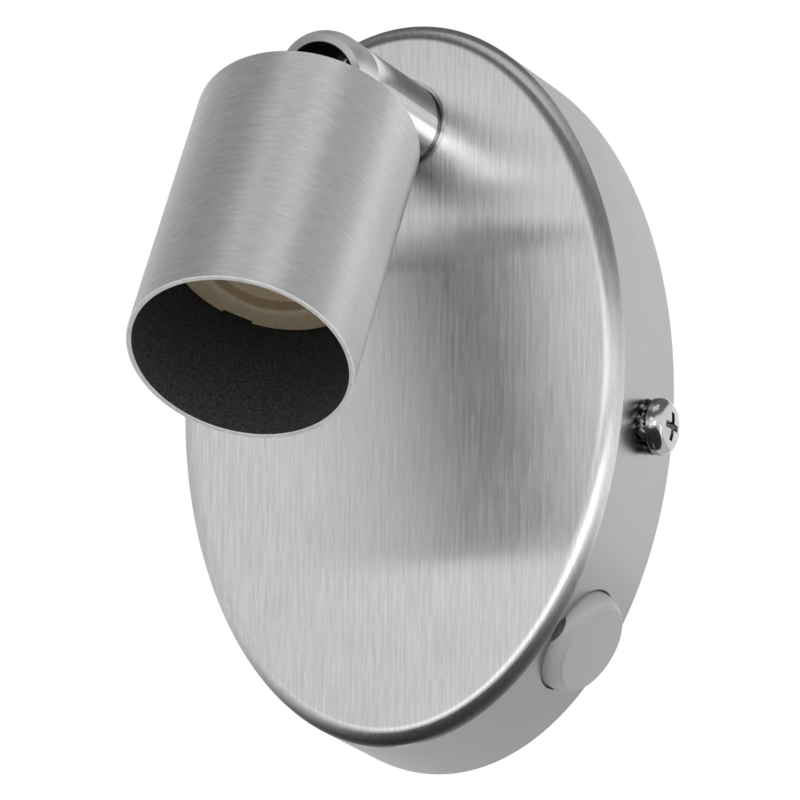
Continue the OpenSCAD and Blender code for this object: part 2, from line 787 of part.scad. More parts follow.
// Ceramic lampholder: front ring with a small notch, raised lip, sunken floor and a narrower waist
socket_low = holder_front + holder_floor_deep;
socket_well_d = socket_d + 2 * shell_wall + 2 * fit;
module lampholder() {
    color("wheat") at_hinge(head_tilt) difference() {
        union() {
            post(holder_d, holder_front, holder_front + holder_ring_h);
            post(holder_waist_d, holder_front + holder_ring_h, holder_top);
            post(holder_lip_d, holder_front - holder_lip_h, holder_front);
        }
        post(holder_lip_d - 2 * holder_lip_t, holder_front - 2 * holder_lip_h, socket_low);
        post(socket_well_d, socket_low - cut, socket_low + socket_len + contact_rise);
        rotate([0, 0, holder_notch_turn]) translate([holder_d / 2, 0, 0])
            block(2 * holder_notch_deep, holder_notch_w, holder_front - cut, holder_front + holder_notch_w);
        for (side = [-1, 1])
            translate([side * foot_x, 0, 0])
                post(holder_screw_d + 2 * fit, holder_top - 2 * holder_screw_d - fit, holder_top + cut);
        for (side = [-1, 1])
            translate([0, side * terminal_y, 0])
                block(terminal_w + 2 * fit, terminal_d + 2 * fit,
                      holder_top - terminal_h / 2 - fit, holder_top + cut);
    }
}

// Threaded lamp shell with a flared mouth
module lamp_shell() {
    color("gold") at_hinge(head_tilt) {
        tube(socket_d + 2 * shell_wall, socket_d, socket_low, socket_low + socket_len);
        tube(socket_d + 2 * shell_wall + 2 * shell_flare, socket_d, socket_low - shell_wall, socket_low);
    }
}

// Spring tongue at the bottom of the socket
well_top = socket_low + socket_len + contact_rise;
contact_slope = 15;
module centre_contact() {
    color("gold") at_hinge(head_tilt) {
        block(contact_w, contact_len, well_top - contact_t, well_top);
        translate([0, -contact_len / 2, well_top]) rotate([-contact_slope, 0, 0])
            translate([-contact_w / 2, 0, -contact_t]) cube([contact_w, contact_len, contact_t]);
    }
}

// Clamp blocks let into the back of the ceramic
terminal_y = (holder_waist_d - terminal_d) / 2 - holder_terminal_rim;
module holder_terminals() {
    color("gold") at_hinge(head_tilt) for (side = [-1, 1])
        translate([0, side * terminal_y, 0])
            block(terminal_w, terminal_d, holder_top - terminal_h / 2, holder_top + terminal_h / 2);
}

// Leads from the hinge through the neck tube to the clamp blocks, one behind the other between the ears
module head_leads() {
    y = stem_lead_x;
    start = -lead_stop - lead_d / 2;
    clamp_z = holder_top + lead_d / 2;
    color("saddlebrown") at_hinge(head_tilt) for (side = [-1, 1])
        lead([[0, side * y, start], [0, side * y, -neck_len / 2], [0, side * y, -neck_len],
              [0, side * y, neck_low], [0, side * (y + lead_d), (neck_low + holder_top) / 2],
              [0, side * (terminal_y - terminal_d / 2 - lead_d / 4), clamp_z]]);
}

canopy();
wall_bracket();
cable_grommet();
earth_screw();
earth_washer();
side_screws();
tooth_washer();
terminal_block();
terminal_sleeves();
terminal_screws();
switch_saddle();
switch_housing();
switch_contacts();
button();
base_leads();
stop_rivet();
seat_ring();
stem();
stem_nipple();
friction_washer();
stop_washer();
stem_nut();
hinge_screw();
hinge_washers();
stem_leads();
hinge_fork();
head_shell();
neck_tube();
neck_nut();
holder_bracket();
holder_screws();
lampholder();
lamp_shell();
centre_contact();
holder_terminals();
head_leads();
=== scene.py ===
import math

import bmesh
import bpy
from mathutils import Matrix, Vector


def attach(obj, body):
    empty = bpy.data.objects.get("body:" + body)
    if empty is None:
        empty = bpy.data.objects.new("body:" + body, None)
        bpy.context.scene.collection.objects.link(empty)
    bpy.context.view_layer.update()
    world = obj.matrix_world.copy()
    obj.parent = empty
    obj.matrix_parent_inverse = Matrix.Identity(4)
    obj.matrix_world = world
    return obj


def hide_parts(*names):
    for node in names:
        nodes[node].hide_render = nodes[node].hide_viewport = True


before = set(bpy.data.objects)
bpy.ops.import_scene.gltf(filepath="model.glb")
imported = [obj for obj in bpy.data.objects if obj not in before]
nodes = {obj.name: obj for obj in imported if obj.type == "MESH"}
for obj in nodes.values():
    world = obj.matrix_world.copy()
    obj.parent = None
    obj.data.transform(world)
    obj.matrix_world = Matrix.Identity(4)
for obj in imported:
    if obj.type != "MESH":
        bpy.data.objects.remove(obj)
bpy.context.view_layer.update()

# Canopy: an oval cup pressed from stainless sheet, open towards the wall, with a rounded front edge.
# The face is brushed up and down, and the side wall is satin. There are holes for the stem, the two
# side screws and the push button. All sizes in this file are in metres.
HALF_W = 0.03875
HALF_H = 0.060
DEPTH = 0.022
EDGE_REACH = 0.0031
EDGE_DEEP = 0.0022
SHEET_T = 0.001
OVAL_STEPS = 288
EDGE_STEPS = 20
STEM_Z = 0.0426
SIDE_SCREW_Z = -0.009
SIDE_SCREW_Y = -0.010
BUTTON_Z = -0.0432
BUTTON_Y = -0.0102
BUTTON_HOLE_R = 0.0090
SCREW_HOLE_R = 0.00265
NIPPLE_HOLE_R = 0.0051
SCRATCH_RANGE = (0.35, 0.65)
SCRATCH_DEPTH = 0.00002
CLOUD_SCALE = 45.0
CLOUD_ROUGHNESS = 0.02
GRAIN_UV_SCALE = 10
EDGE_FACING = (-0.98, -0.70)
EDGE_ROUGHNESS = 0.22


def wall_x(z):
    """How far the canopy's side wall stands out at a height."""
    return HALF_W * math.sqrt(1 - (z / HALF_H) ** 2)


def side_place(z, y):
    """A matrix that stands a piece drawn along Z on the canopy's side wall, Z pointing out of it."""
    turn = math.atan2(z / HALF_H ** 2, wall_x(z) / HALF_W ** 2)
    return Matrix.Translation((wall_x(z), y, z)) @ Matrix.Rotation(math.pi / 2 - turn, 4, "Y")


def loose_object(name, mesh):
    thing = bpy.data.objects.new(name, mesh)
    bpy.context.scene.collection.objects.link(thing)
    return thing


def new_piece(name, mesh, body, *replaced, materials=(), slot=None):
    """A mesh object that stands for CAD nodes and rides on their body."""
    piece = loose_object(name, mesh)
    for material in materials:
        mesh.materials.append(material)
    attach(piece, body)
    if replaced:
        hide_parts(*replaced)
    return piece


def smooth_mesh(mesh, degrees=30):
    """Shades a mesh smooth, with every edge that bends more than the angle kept sharp."""
    mesh.shade_smooth()
    mesh.set_sharp_from_angle(angle=math.radians(degrees))
    return mesh


def to_mesh(name, form):
    done = bpy.data.meshes.new(name)
    form.to_mesh(done)
    form.free()
    return done


def ring_points(radius, height, steps):
    """Evenly spaced points of a circle round Z."""
    turns = [2 * math.pi * i / steps for i in range(steps)]
    return [(radius * math.cos(turn), radius * math.sin(turn), height) for turn in turns]


def grey(tone):
    return (tone, tone, tone)


def new_material(name, metallic=0.0, roughness=0.5):
    material = bpy.data.materials.new(name)
    material.use_nodes = True
    tree = material.node_tree
    shader = tree.nodes["Principled BSDF"]
    shader.inputs["Metallic"].default_value = metallic
    shader.inputs["Roughness"].default_value = roughness
    return material, tree, shader


def add_node(tree, kind, inputs=None, **settings):
    """Adds a node. An input is given a value, or a link where it is given another node's socket."""
    made = tree.nodes.new(kind)
    for key, value in settings.items():
        setattr(made, key, value)
    for key, value in (inputs or {}).items():
        if isinstance(value, bpy.types.NodeSocket):
            tree.links.new(value, made.inputs[key])
        else:
            made.inputs[key].default_value = value
    return made


def maths(tree, operation, first, second=0.0):
    return add_node(tree, "ShaderNodeMath", {0: first, 1: second}, operation=operation).outputs[0]


def axes_of(tree, vector):
    return add_node(tree, "ShaderNodeSeparateXYZ", {"Vector": vector}).outputs


def object_coords(tree, place=None, scale=(1, 1, 1)):
    """Object coordinates, moved into a piece's own axes by place and stretched by scale."""
    coords = add_node(tree, "ShaderNodeTexCoord").outputs["Object"]
    if place is not None:
        back = place.inverted()
        turned = add_node(tree, "ShaderNodeMapping", {
            "Vector": coords, "Location": back.to_translation(), "Rotation": back.to_euler()})
        coords = turned.outputs["Vector"]
    return add_node(tree, "ShaderNodeMapping", {"Vector": coords, "Scale": scale}).outputs["Vector"]


def remap(tree, value, low, high, start=0.3, end=0.7):
    """Turns the range from start to end into the range from low to high, and stays inside it."""
    return add_node(tree, "ShaderNodeMapRange", {
        "Value": value, "From Min": start, "From Max": end, "To Min": low, "To Max": high}).outputs["Result"]


def noise(tree, vector, scale, detail=4.0, roughness=0.6):
    return add_node(tree, "ShaderNodeTexNoise", {
        "Vector": vector, "Scale": scale, "Detail": detail, "Roughness": roughness}).outputs["Fac"]


def two_tones(tree, shader, amount, dark, light):
    """Colours a surface between two tones by an amount from 0 to 1."""
    mix = add_node(tree, "ShaderNodeMix", data_type="RGBA")
    tree.links.new(amount, mix.inputs["Factor"])
    colours = [socket for socket in mix.inputs if socket.type == "RGBA"]
    colours[0].default_value = (*dark, 1)
    colours[1].default_value = (*light, 1)
    result = [socket for socket in mix.outputs if socket.type == "RGBA"][0]
    tree.links.new(result, shader.inputs["Base Color"])


def relief(tree, shader, height, strength, distance):
    bump = add_node(tree, "ShaderNodeBump", {"Height": height, "Strength": strength, "Distance": distance})
    tree.links.new(bump.outputs["Normal"], shader.inputs["Normal"])


def brushed_steel(name, grain, tone, rough, bump=0.1, across=0.0, place=None, fineness=2600, contrast=0.10,
                  metallic=1.0):
    """Brushed steel. grain stretches the scratches, across draws the highlights out over them."""
    material, tree, shader = new_material(name, metallic)
    lines = object_coords(tree, place, grain)
    fine = noise(tree, lines, fineness, 5.0, 0.65)
    broad = noise(tree, lines, fineness / 3, 3.0, 0.5)
    cloud = noise(tree, object_coords(tree), CLOUD_SCALE, 3.0, 0.5)
    scratch = maths(tree, "MULTIPLY", maths(tree, "ADD", fine, broad), 0.5)
    amount = remap(tree, scratch, 0, 1, *SCRATCH_RANGE)
    two_tones(tree, shader, amount, grey(tone * (1 - contrast)), grey(tone))
    lined = remap(tree, scratch, *rough, *SCRATCH_RANGE)
    clouded = remap(tree, cloud, -CLOUD_ROUGHNESS, CLOUD_ROUGHNESS)
    tree.links.new(maths(tree, "ADD", lined, clouded), shader.inputs["Roughness"])
    relief(tree, shader, scratch, bump, SCRATCH_DEPTH)
    if across:
        shader.inputs["Anisotropic"].default_value = across
        tangent = add_node(tree, "ShaderNodeTangent", direction_type="UV_MAP", uv_map="across_grain")
        tree.links.new(tangent.outputs["Tangent"], shader.inputs["Tangent"])
    return material


def add_roughness(tree, more):
    """Adds to the roughness that a brushed steel already has."""
    roughness = tree.nodes["Principled BSDF"].inputs["Roughness"]
    tree.links.new(maths(tree, "ADD", roughness.links[0].from_socket, more), roughness)


def oval_ring(inset, depth):
    """Points of the canopy's oval, a distance in from its outline and a depth off the wall."""
    turns = [2 * math.pi * i / OVAL_STEPS for i in range(OVAL_STEPS)]
    return [Vector(((HALF_W - inset) * math.cos(turn), -depth, (HALF_H - inset) * math.sin(turn)))
            for turn in turns]


def edge_profile(inset, reach, deep, face):
    """Insets and depths up the side wall and over the rounded edge to the face."""
    turns = [math.pi / 2 * i / EDGE_STEPS for i in range(EDGE_STEPS + 1)]
    return [(inset, 0.0)] + [(inset + reach * (1 - math.cos(turn)), face - deep * (1 - math.sin(turn)))
                             for turn in turns]


def canopy_mesh():
    """The cup's closed skin. Its finishes are 0 on the face and edge, 1 on the wall and 2 inside."""
    outer = edge_profile(0.0, EDGE_REACH, EDGE_DEEP, DEPTH)
    inner = edge_profile(SHEET_T, EDGE_REACH - SHEET_T, EDGE_DEEP - SHEET_T, DEPTH - SHEET_T)
    form = bmesh.new()
    outer_rings = [[form.verts.new(v) for v in oval_ring(*point)] for point in outer]
    inner_rings = [[form.verts.new(v) for v in oval_ring(*point)] for point in inner]

    def skin(low, high, finish, turned):
        for i in range(OVAL_STEPS):
            j = (i + 1) % OVAL_STEPS
            corners = [low[i], low[j], high[j], high[i]]
            form.faces.new(corners[::-1] if turned else corners).material_index = finish

    skin(outer_rings[0], outer_rings[1], 1, False)
    for low, high in zip(outer_rings[1:-1], outer_rings[2:]):
        skin(low, high, 0, False)
    form.faces.new(outer_rings[-1]).material_index = 0
    skin(outer_rings[0], inner_rings[0], 1, True)
    for low, high in zip(inner_rings, inner_rings[1:]):
        skin(low, high, 2, True)
    form.faces.new(inner_rings[-1][::-1]).material_index = 2
    bmesh.ops.recalc_face_normals(form, faces=form.faces)
    return to_mesh("canopy_skin", form)


def round_cutter(place, radius, low, high, steps=96):
    """A round plug drawn along Z and put in place, for cutting a hole."""
    form = bmesh.new()
    bmesh.ops.create_cone(form, cap_ends=True, segments=steps, radius1=radius, radius2=radius,
                          depth=high - low, matrix=place @ Matrix.Translation((0, 0, (high + low) / 2)))
    bmesh.ops.recalc_face_normals(form, faces=form.faces)
    return loose_object("cutter", to_mesh("cutter", form))


def cut_away(mesh, plugs):
    """The mesh with every plug cut out of it."""
    piece = loose_object("uncut", mesh)
    for plug in plugs:
        cutting = piece.modifiers.new("cut", "BOOLEAN")
        cutting.object = plug
        cutting.solver = "EXACT"
    bpy.context.view_layer.update()
    done = bpy.data.meshes.new_from_object(piece.evaluated_get(bpy.context.evaluated_depsgraph_get()))
    for spare in [piece] + plugs:
        bpy.data.objects.remove(spare, do_unlink=True)
    return done


def flat_grain(mesh, to_uv):
    """A UV map whose first axis runs across the brush lines, for the highlights' direction."""
    grain = mesh.uv_layers.new(name="across_grain")
    for loop in mesh.loops:
        grain.data[loop.index].uv = to_uv(mesh.vertices[loop.vertex_index].co)


off_wall = Matrix.Rotation(math.pi / 2, 4, "X")
stem_place = Matrix.Translation((0, 0, STEM_Z)) @ off_wall
side_right = side_place(SIDE_SCREW_Z, SIDE_SCREW_Y)
side_left = Matrix.Scale(-1, 4, (1, 0, 0)) @ side_right
button_place = side_place(BUTTON_Z, BUTTON_Y)
through = (-4 * SHEET_T, 4 * SHEET_T)
canopy_skin = cut_away(canopy_mesh(), [
    round_cutter(stem_place, NIPPLE_HOLE_R, DEPTH - 4 * SHEET_T, DEPTH + SHEET_T),
    round_cutter(side_right, SCREW_HOLE_R, *through),
    round_cutter(side_left, SCREW_HOLE_R, *through),
    round_cutter(button_place, BUTTON_HOLE_R, *through)])
smooth_mesh(canopy_skin, 25)
flat_grain(canopy_skin, lambda point: (point.x * GRAIN_UV_SCALE, point.z * GRAIN_UV_SCALE))
canopy_face = brushed_steel("canopy_face_grain", grain=(1, 1, 0.05), tone=0.75, rough=(0.19, 0.25), bump=0.02,
                            across=0.97, fineness=6000, contrast=0.24)
tree = canopy_face.node_tree
facing = axes_of(tree, add_node(tree, "ShaderNodeNewGeometry").outputs["Normal"])["Y"]
add_roughness(tree, remap(tree, facing, 0.0, EDGE_ROUGHNESS, *EDGE_FACING))
canopy_side = brushed_steel("canopy_side_satin", grain=(0.6, 1, 0.6), tone=0.43, rough=(0.28, 0.32),
                            bump=0.03, contrast=0.03)
canopy_inside = brushed_steel("canopy_inside_plain", grain=(1, 1, 1), tone=0.42, rough=(0.4, 0.5), bump=0.03,
                              fineness=900)
new_piece("canopy_cup", canopy_skin, "base", "canopy", slot="canopy_steel",
          materials=(canopy_face, canopy_side, canopy_inside))

# Bracket and other pressings: mild steel strip, blanked, bent and zinc plated, with the small
# plated screws, washers and the rivet that hold things to them.
SPANGLE_SCALE = 500.0


def dress(material, *names):
    """Gives CAD nodes their finish."""
    for name in names:
        nodes[name].data.materials.clear()
        nodes[name].data.materials.append(material)


zinc, tree, shader = new_material("zinc_plate", metallic=1.0)
spangle = add_node(tree, "ShaderNodeTexVoronoi", {"Vector": object_coords(tree), "Scale": SPANGLE_SCALE})
spangle = spangle.outputs["Distance"]
tree.links.new(remap(tree, spangle, 0.30, 0.45, 0, 1), shader.inputs["Roughness"])
two_tones(tree, shader, spangle, (0.50, 0.51, 0.52), (0.66, 0.67, 0.68))
dress(zinc, "wall_bracket", "switch_saddle", "earth_washer", "terminal_screws", "stop_rivet",
      "friction_washer", "stop_washer", "holder_bracket", "holder_screws")

# Terminal block and switch body: white mouldings. The block is screwed down on the bracket's tab,
# and the switch is gripped by its saddle. The hinge's friction washers are the same plastic.
FINE_DEPTH = 0.00003


def grained(name, dark, light, scale, detail=3.0, roughness=0.5, rough=None, bump=0.0,
            depth=FINE_DEPTH, spread=None, metallic=0.0):
    """A finish that wanders between two tones in a fine grain.

    rough is the lowest and highest roughness where that follows the grain too, and spread is the
    part of the grain's range over which the tone goes from dark to light."""
    material, tree, shader = new_material(name, metallic, roughness)
    grain = noise(tree, object_coords(tree), scale, detail)
    if rough:
        tree.links.new(remap(tree, grain, *rough), shader.inputs["Roughness"])
    amount = remap(tree, grain, 0, 1, *spread) if spread else grain
    two_tones(tree, shader, amount, dark, light)
    if bump:
        relief(tree, shader, grain, bump, depth)
    return material


white_plastic = grained("white_moulding", (0.66, 0.66, 0.63), (0.72, 0.72, 0.70), scale=2500,
                        roughness=0.4, bump=0.05)
dress(white_plastic, "terminal_block", "switch_housing", "hinge_washers")

# Grommet: soft black rubber, pushed into the bracket's cable hole. It keeps the sheet's edge off
# the cable that comes out of the wall.
rubber = grained("black_rubber", grey(0.012), grey(0.03), scale=3000, roughness=0.7, bump=0.2)
dress(rubber, "cable_grommet")

# Brass pieces: nipple, nuts, tubes, sleeves and contacts, turned or stamped and left plain. The
# earth screw is brass too.
brass = grained("plain_brass", (0.55, 0.38, 0.15), (0.70, 0.52, 0.24), scale=700, detail=4.0,
                rough=(0.22, 0.38), metallic=1.0)
dress(brass, "terminal_sleeves", "switch_contacts", "stem_nipple", "stem_nut", "neck_tube", "neck_nut",
      "earth_screw", "centre_contact", "holder_terminals")

# Push button: a moulded grey cap that curves in to a flat face, with a notch at the front of its
# skirt. Its flange keeps it behind the canopy's wall, and its plunger works the switch.
BUTTON_R = 0.0086
BUTTON_OUT = 0.00265
BUTTON_EDGE = 0.0004
BUTTON_FACE_R = 0.0075
BUTTON_BEND = math.radians(60)
SKIRT_LOW = -0.00296
SKIRT_STEPS = 8
FLANGE_R = 0.0095
FLANGE_T = 0.0008
PLUNGER_R = 0.003
PLUNGER_LOW = -0.01066
NOTCH_R = 0.0015
NOTCH_STRETCH = 1.6
NOTCH_DEEP = 0.002
NOTCH_RISE = 0.0008


def arc(centre_r, centre_z, radius, start, end, steps=6):
    """Points of a rounded edge, from one angle to another, in degrees."""
    turns = [math.radians(start + (end - start) * i / steps) for i in range(steps + 1)]
    return [(centre_r + radius * math.cos(turn), centre_z + radius * math.sin(turn)) for turn in turns]


def turned_mesh(name, profile, place, steps=160, finishes=None, degrees=30):
    """A closed skin turned round Z from (radius, height) points, then put in place.

    Its UV map runs along the profile first, across the marks that turning leaves. finishes has a
    material number for each step of the profile."""
    form = bmesh.new()
    grain = form.loops.layers.uv.new("across_grain")
    run = [0.0]
    for before, after in zip(profile, profile[1:]):
        run.append(run[-1] + math.hypot(after[0] - before[0], after[1] - before[1]) * GRAIN_UV_SCALE)
    rings = [[form.verts.new(spot) for spot in ring_points(radius, height, 1 if radius == 0 else steps)]
             for radius, height in profile]
    for k, (low, high) in enumerate(zip(rings, rings[1:])):
        for i in range(steps):
            j = (i + 1) % steps
            if len(low) == 1:
                corners, spots = [low[0], high[j], high[i]], [(k, i), (k + 1, i + 1), (k + 1, i)]
            elif len(high) == 1:
                corners, spots = [low[i], low[j], high[0]], [(k, i), (k, i + 1), (k + 1, i)]
            else:
                corners = [low[i], low[j], high[j], high[i]]
                spots = [(k, i), (k, i + 1), (k + 1, i + 1), (k + 1, i)]
            face = form.faces.new(corners)
            for loop, (step, turn) in zip(face.loops, spots):
                loop[grain].uv = (run[step], turn / steps)
            if finishes:
                face.material_index = finishes[k]
    bmesh.ops.remove_doubles(form, verts=form.verts, dist=1e-7)
    bmesh.ops.transform(form, matrix=place, verts=form.verts)
    bmesh.ops.recalc_face_normals(form, faces=form.faces)
    return smooth_mesh(to_mesh(name, form), degrees)


def skirt_point(share):
    """A point of the button's curved side, from 0 at the wall to 1 under the face's edge."""
    bend = BUTTON_BEND * share
    drawn_in = (BUTTON_R - BUTTON_FACE_R) * (1 - math.cos(bend)) / (1 - math.cos(BUTTON_BEND))
    return BUTTON_R - drawn_in, (BUTTON_OUT - BUTTON_EDGE) * math.sin(bend) / math.sin(BUTTON_BEND)


flange_top = SKIRT_LOW + FLANGE_T
button_profile = ([(0, PLUNGER_LOW), (PLUNGER_R, PLUNGER_LOW), (PLUNGER_R, SKIRT_LOW)]
                  + [(FLANGE_R, SKIRT_LOW), (FLANGE_R, flange_top), (BUTTON_R, flange_top)]
                  + [skirt_point(i / SKIRT_STEPS) for i in range(SKIRT_STEPS + 1)]
                  + arc(BUTTON_FACE_R - BUTTON_EDGE, BUTTON_OUT - BUTTON_EDGE, BUTTON_EDGE, 30, 90)
                  + [(0, BUTTON_OUT)])
notch_place = (button_place @ Matrix.Translation((0, 0, NOTCH_RISE - NOTCH_R)) @ off_wall
               @ Matrix.Diagonal((NOTCH_STRETCH, 1, 1, 1)))
button_mesh = smooth_mesh(cut_away(turned_mesh("button_cap", button_profile, button_place), [
    round_cutter(notch_place, NOTCH_R, BUTTON_R - NOTCH_DEEP, BUTTON_R + NOTCH_DEEP)]))
button_grey = grained("button_grey", grey(0.34), grey(0.40), scale=4000, detail=4.0, roughness=0.35,
                      bump=0.05)
new_piece("button_cap", button_mesh, "button", "button", slot="button_plastic", materials=(button_grey,))

# Side screws: pan heads with a cross recess, polished and chromium plated. They go through the
# canopy's side wall into the ears of the bracket. The right one stands on a toothed washer, and the
# ring round the stem and the hinge screw have the same plating.
SCREW_R = 0.0025
SCREW_LOW = -0.005
SCREW_TIP_R = 0.8 * SCREW_R
SCREW_TIP_H = 0.0005
SCREW_STEPS = 72
PAN_R = 0.0046
PAN_H = 0.00296
PAN_EDGE_H = 0.0009
PAN_LIP = 0.0003
PAN_TURN = 0.0018
PAN_TURN_STEPS = 12
PAN_DOME = 0.0003
PAN_DOME_STEPS = 8
WASHER_LIFT = 0.0016
SEAT_FIT = 0.00005
RECESS_W = 0.0011
RECESS_DEEP = 0.0016


def block_cutter(place, size, centre):
    """A block drawn round a centre and put in place, for cutting a recess or a notch."""
    form = bmesh.new()
    bmesh.ops.create_cube(form, size=1,
                          matrix=place @ Matrix.Translation(centre) @ Matrix.Diagonal((*size, 1)))
    bmesh.ops.recalc_face_normals(form, faces=form.faces)
    return loose_object("cutter", to_mesh("cutter", form))


def screw_profile(seat):
    """Half the outline of a screw whose head stands at a height above the wall."""
    bend_h = PAN_H - PAN_EDGE_H - PAN_DOME
    bends = [math.pi / 2 * i / PAN_TURN_STEPS for i in range(PAN_TURN_STEPS + 1)]
    flat_r = PAN_R - PAN_TURN
    shares = [1 - i / PAN_DOME_STEPS for i in range(1, PAN_DOME_STEPS + 1)]
    return ([(0, SCREW_LOW), (SCREW_TIP_R, SCREW_LOW), (SCREW_R, SCREW_LOW + SCREW_TIP_H), (SCREW_R, seat)]
            + arc(PAN_R - PAN_LIP, seat + PAN_LIP, PAN_LIP, -90, 0, 4)
            + [(PAN_R - PAN_TURN * (1 - math.cos(bend)), seat + PAN_EDGE_H + bend_h * math.sin(bend))
               for bend in bends]
            + [(flat_r * share, seat + PAN_H - PAN_DOME * share ** 2) for share in shares])


chrome = grained("bright_plate", grey(0.40), grey(0.66), scale=900, rough=(0.08, 0.18), metallic=1.0)
screw_form = bmesh.new()
for place, seat in ((side_right, WASHER_LIFT), (side_left, SEAT_FIT)):
    arms = [block_cutter(place, size, (0, 0, seat + PAN_H)) for size in
            ((PAN_R, RECESS_W, 2 * RECESS_DEEP), (RECESS_W, PAN_R, 2 * RECESS_DEEP))]
    screw_form.from_mesh(cut_away(turned_mesh("screw", screw_profile(seat), place, SCREW_STEPS), arms))
screws = smooth_mesh(to_mesh("side_screws", screw_form), 35)
new_piece("side_screw_pair", screws, "base", "side_screws", slot="screw_chrome", materials=(chrome,))
dress(chrome, "seat_ring", "hinge_screw")

# Toothed washer: a hardened spring steel ring with twisted outer teeth, dark from heat treatment.
# It bites between the right side screw's head and the canopy.
WASHER_BORE_R = 0.00265
WASHER_RIM = 0.00095
WASHER_R = 0.0045
TOOTH_T = 0.0006
TOOTH_GAP = 0.0001
TEETH = 12
TOOTH_TWIST = math.radians(45)


def tooth_ring_tree(material):
    """A flat ring with twisted blocks repeated round it. Sizes are inputs, in metres."""
    made = bpy.data.node_groups.new("tooth_ring", "GeometryNodeTree")
    sizes = {"Ring Radius": 0.003, "Ring Width": 0.001, "Thickness": 0.0006, "Tooth Length": 0.001,
             "Tooth Width": 0.0015, "Twist": 0.8, "Lift": 0.0008}
    made.interface.new_socket("Teeth", in_out="INPUT", socket_type="NodeSocketInt").default_value = 12
    for label, value in sizes.items():
        made.interface.new_socket(label, in_out="INPUT", socket_type="NodeSocketFloat").default_value = value
    made.interface.new_socket("Geometry", in_out="OUTPUT", socket_type="NodeSocketGeometry")
    given = made.nodes.new("NodeGroupInput").outputs

    def result(kind, inputs):
        return add_node(made, kind, inputs).outputs[0]

    size = result("ShaderNodeCombineXYZ", {"X": given["Tooth Length"], "Y": given["Tooth Width"],
                                           "Z": given["Thickness"]})
    tooth = result("GeometryNodeMeshCube", {"Size": size})
    twist = result("ShaderNodeCombineXYZ", {"X": given["Twist"]})
    twisted = result("GeometryNodeTransform", {"Geometry": tooth, "Rotation": twist})
    reach = maths(made, "ADD", given["Ring Radius"], maths(made, "MULTIPLY", given["Tooth Length"], 0.5))
    spots = result("GeometryNodeMeshCircle", {"Vertices": given["Teeth"], "Radius": reach})
    share = maths(made, "DIVIDE", result("GeometryNodeInputIndex", {}), given["Teeth"])
    facing = result("ShaderNodeCombineXYZ", {"Z": maths(made, "MULTIPLY", share, 2 * math.pi)})
    teeth = result("GeometryNodeInstanceOnPoints", {"Points": spots, "Instance": twisted, "Rotation": facing})
    middle = maths(made, "SUBTRACT", given["Ring Radius"], maths(made, "MULTIPLY", given["Ring Width"], 0.5))
    circle = result("GeometryNodeCurvePrimitiveCircle", {"Resolution": 64, "Radius": middle})
    section = result("GeometryNodeCurvePrimitiveQuadrilateral", {"Width": given["Ring Width"],
                                                                 "Height": given["Thickness"]})
    ring = result("GeometryNodeCurveToMesh", {"Curve": circle, "Profile Curve": section})
    joined = made.nodes.new("GeometryNodeJoinGeometry")
    made.links.new(ring, joined.inputs[0])
    made.links.new(teeth, joined.inputs[0])
    raised = result("ShaderNodeCombineXYZ", {"Z": given["Lift"]})
    placed = result("GeometryNodeTransform", {"Geometry": joined.outputs[0], "Translation": raised})
    real = result("GeometryNodeRealizeInstances", {"Geometry": placed})
    finished = result("GeometryNodeSetMaterial", {"Geometry": real, "Material": material})
    made.links.new(finished, made.nodes.new("NodeGroupOutput").inputs[0])
    return made


def grown_mesh(tree, values):
    """The plain mesh that a geometry tree makes from named sizes."""
    holder = loose_object("holder", bpy.data.meshes.new("holder"))
    growing = holder.modifiers.new("grow", "NODES")
    growing.node_group = tree
    for item in tree.interface.items_tree:
        if item.in_out == "INPUT" and item.name in values:
            growing[item.identifier] = values[item.name]
    bpy.context.view_layer.update()
    done = bpy.data.meshes.new_from_object(holder.evaluated_get(bpy.context.evaluated_depsgraph_get()))
    bpy.data.objects.remove(holder, do_unlink=True)
    return done


dark_steel = grained("dark_spring_steel", grey(0.10), (0.75, 0.74, 0.73), scale=1500, detail=4.0,
                     rough=(0.12, 0.25), spread=(0.4, 0.6), metallic=1.0)
tooth_h = WASHER_LIFT - TOOTH_GAP
tooth_w = (tooth_h - TOOTH_T * math.cos(TOOTH_TWIST)) / math.sin(TOOTH_TWIST)
ring_r = WASHER_BORE_R + WASHER_RIM
washer_mesh = grown_mesh(tooth_ring_tree(dark_steel), {
    "Teeth": TEETH, "Ring Radius": ring_r, "Ring Width": WASHER_RIM, "Thickness": TOOTH_T,
    "Tooth Length": WASHER_R - ring_r, "Tooth Width": tooth_w, "Twist": TOOTH_TWIST, "Lift": WASHER_LIFT / 2})
washer_mesh.transform(side_right)
new_piece("tooth_washer_ring", smooth_mesh(washer_mesh, 20), "base", "tooth_washer", slot="washer_steel")

# Stem and fork: turned from steel bar and brushed round in the lathe. The stem's end is a hollow
# dome, cut off at a slant and duller than the stem. Its dark inside is painted shade, which fades out
# with distance from the hinge. The fork's ears swing in the slot below it on the hinge screw.
HINGE = Vector((0, -0.050, STEM_Z))
DOME_FROM_Y = (-0.0462, -0.0456)
DOME_ROUGHNESS = 0.40
PAINTED_SHADE_REACH = (0.00615, 0.0063)
PAINTED_SHADE_LEVEL = 0.05
stem_grain = brushed_steel("stem_grain", grain=(0.05, 1, 0.05), tone=0.80, rough=(0.10, 0.15), bump=0.03,
                           contrast=0.05)
tree = stem_grain.node_tree
shader = tree.nodes["Principled BSDF"]
round_axis = add_node(tree, "ShaderNodeTangent", direction_type="RADIAL", axis="Y")
tree.links.new(round_axis.outputs["Tangent"], shader.inputs["Tangent"])
shader.inputs["Anisotropic"].default_value = 0.9
shader.inputs["Anisotropic Rotation"].default_value = 0.25
toward_mouth = axes_of(tree, object_coords(tree))["Y"]
